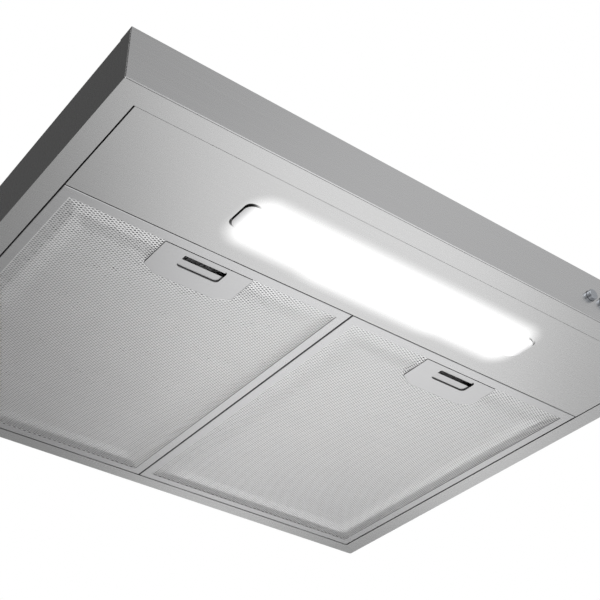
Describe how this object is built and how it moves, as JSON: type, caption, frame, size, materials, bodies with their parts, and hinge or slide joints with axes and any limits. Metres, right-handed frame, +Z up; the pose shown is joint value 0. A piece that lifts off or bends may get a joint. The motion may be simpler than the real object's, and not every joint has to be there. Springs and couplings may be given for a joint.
{
  "type": "under cabinet range hood",
  "caption": "Under cabinet range hood: shallow steel tray with hinged grease filters, pull latches, a long lamp and push buttons; a blower above feeds a round duct collar with flaps.",
  "frame": {"origin": "centre of the four cabinet screw holes, in the plane of the housing's top face", "axes": "+Z up towards the cabinet, -Y towards the cook in front of the hood, +X to the right of someone who stands in front of it"},
  "size_m": [0.598, 0.5005, 0.1892],
  "materials": {
    "stainless": "fine brushed stainless steel",
    "stainless_panel": "fine brushed stainless steel, satin",
    "galvanised": "plain zinc-coated steel",
    "screw_zinc": "bright zinc plating",
    "spring_steel": "bare spring steel",
    "filter_aluminium": "rolled mill finish",
    "mesh_aluminium": "perforated mill finish",
    "inner_aluminium": "expanded metal layers",
    "latch_metal": "pressed satin sheet",
    "slider_metal": "satin sheet",
    "opal_lens": "opal polycarbonate",
    "lamp_black": "fine grain",
    "board_white": "white solder mask",
    "button_steel": "satin metal cap",
    "switch_black": "moulded",
    "blower_plastic": "moulded flame-retardant plastic",
    "wheel_plastic": "moulded",
    "motor_shell": "dark zinc-coated shell",
    "motor_iron": "laminated iron",
    "bronze": "sintered",
    "nut_steel": "zinc plated",
    "rubber_black": "matt",
    "box_plastic": "moulded",
    "terminal_plastic": "moulded",
    "capacitor_case": "smooth",
    "driver_case": "smooth",
    "gland_black": "moulded",
    "lead_sheath": "smooth sheath",
    "collar_plastic": "moulded",
    "flap_plastic": "moulded",
    "rod_steel": "drawn wire"
  },
  "bodies": {
    "hood": {"canopy_shell": "stainless", "front_fascia": "stainless", "upper_housing": "galvanised", "housing_top": "galvanised", "lamp_panel": "stainless_panel", "cross_rail": "galvanised", "panel_screws": "screw_zinc", "lamp_lens": "opal_lens", "lamp_housing": "lamp_black", "led_board": "board_white", "lamp_lead": "lead_sheath", "switch_body": "switch_black", "switch_bracket": "galvanised", "switch_lead": "lead_sheath", "blower_lower": "blower_plastic", "blower_upper": "blower_plastic", "blower_screws": "screw_zinc", "rubber_bushes": "rubber_black", "motor_can": "motor_shell", "motor_stator": "motor_iron", "motor_bearings": "bronze", "motor_screws": "screw_zinc", "motor_lead": "lead_sheath", "capacitor": "capacitor_case", "junction_box": "box_plastic", "junction_cover": "box_plastic", "terminal_block": "terminal_plastic", "cable_gland": "gland_black", "led_driver": "driver_case", "duct_collar": "collar_plastic", "damper_rod": "rod_steel", "button_spring_1": "spring_steel", "button_spring_2": "spring_steel", "button_spring_3": "spring_steel", "button_spring_4": "spring_steel", "button_spring_5": "spring_steel"},
    "filter_left": {"filter_left_frame": "filter_aluminium", "filter_left_face_mesh": "mesh_aluminium", "filter_left_inner_mesh": "inner_aluminium", "filter_left_back_mesh": "mesh_aluminium", "filter_left_latch_plate": "latch_metal", "filter_left_latch_springs": "spring_steel"},
    "latch_left": {"filter_left_latch_slider": "slider_metal"},
    "filter_right": {"filter_right_frame": "filter_aluminium", "filter_right_face_mesh": "mesh_aluminium", "filter_right_inner_mesh": "inner_aluminium", "filter_right_back_mesh": "mesh_aluminium", "filter_right_latch_plate": "latch_metal", "filter_right_latch_springs": "spring_steel"},
    "latch_right": {"filter_right_latch_slider": "slider_metal"},
    "push_button_1": {"button_1": "button_steel"},
    "push_button_2": {"button_2": "button_steel"},
    "push_button_3": {"button_3": "button_steel"},
    "push_button_4": {"button_4": "button_steel"},
    "push_button_5": {"button_5": "button_steel"},
    "wheel": {"impeller": "wheel_plastic", "impeller_nut": "nut_steel", "motor_rotor": "motor_iron"},
    "flap_left": {"damper_left": "flap_plastic"},
    "flap_right": {"damper_right": "flap_plastic"}
  },
  "joints": [
    {"name": "filter_left_drop", "type": "hinge", "parent": "hood", "child": "filter_left", "pos_m": [-0.13995, 0.1346, -0.149], "axis": [1, 0, 0], "range_deg": [0, 75]},
    {"name": "latch_left_slide", "type": "slide", "parent": "filter_left", "child": "latch_left", "axis": [0, 1, 0], "range_m": [0, 0.006], "stiffness_N_per_m": 300, "springref_m": -0.003, "deforming": ["filter_left_latch_springs"]},
    {"name": "filter_right_drop", "type": "hinge", "parent": "hood", "child": "filter_right", "pos_m": [0.13995, 0.1346, -0.149], "axis": [1, 0, 0], "range_deg": [0, 75]},
    {"name": "latch_right_slide", "type": "slide", "parent": "filter_right", "child": "latch_right", "axis": [0, 1, 0], "range_m": [0, 0.006], "stiffness_N_per_m": 300, "springref_m": -0.003, "deforming": ["filter_right_latch_springs"]},
    {"name": "button_1_press", "type": "slide", "parent": "hood", "child": "push_button_1", "axis": [0, 1, 0], "range_m": [0, 0.003], "stiffness_N_per_m": 300, "springref_m": -0.003, "deforming": ["button_spring_1"]},
    {"name": "button_2_press", "type": "slide", "parent": "hood", "child": "push_button_2", "axis": [0, 1, 0], "range_m": [0, 0.003], "stiffness_N_per_m": 300, "springref_m": -0.003, "deforming": ["button_spring_2"]},
    {"name": "button_3_press", "type": "slide", "parent": "hood", "child": "push_button_3", "axis": [0, 1, 0], "range_m": [0, 0.003], "stiffness_N_per_m": 300, "springref_m": -0.003, "deforming": ["button_spring_3"]},
    {"name": "button_4_press", "type": "slide", "parent": "hood", "child": "push_button_4", "axis": [0, 1, 0], "range_m": [0, 0.003], "stiffness_N_per_m": 300, "springref_m": -0.003, "deforming": ["button_spring_4"]},
    {"name": "button_5_press", "type": "slide", "parent": "hood", "child": "push_button_5", "axis": [0, 1, 0], "range_m": [0, 0.003], "stiffness_N_per_m": 300, "springref_m": -0.003, "deforming": ["button_spring_5"]},
    {"name": "wheel_spin", "type": "hinge", "parent": "hood", "child": "wheel", "pos_m": [-0.15, 0.044, -0.05], "axis": [0, 0, 1], "continuous": true},
    {"name": "flap_left_swing", "type": "hinge", "parent": "hood", "child": "flap_left", "pos_m": [0, 0, 0.0047], "axis": [0, 1, 0], "range_deg": [0, 75]},
    {"name": "flap_right_swing", "type": "hinge", "parent": "hood", "child": "flap_right", "pos_m": [0, 0, 0.0047], "axis": [0, -1, 0], "range_deg": [0, 75]}
  ]
}
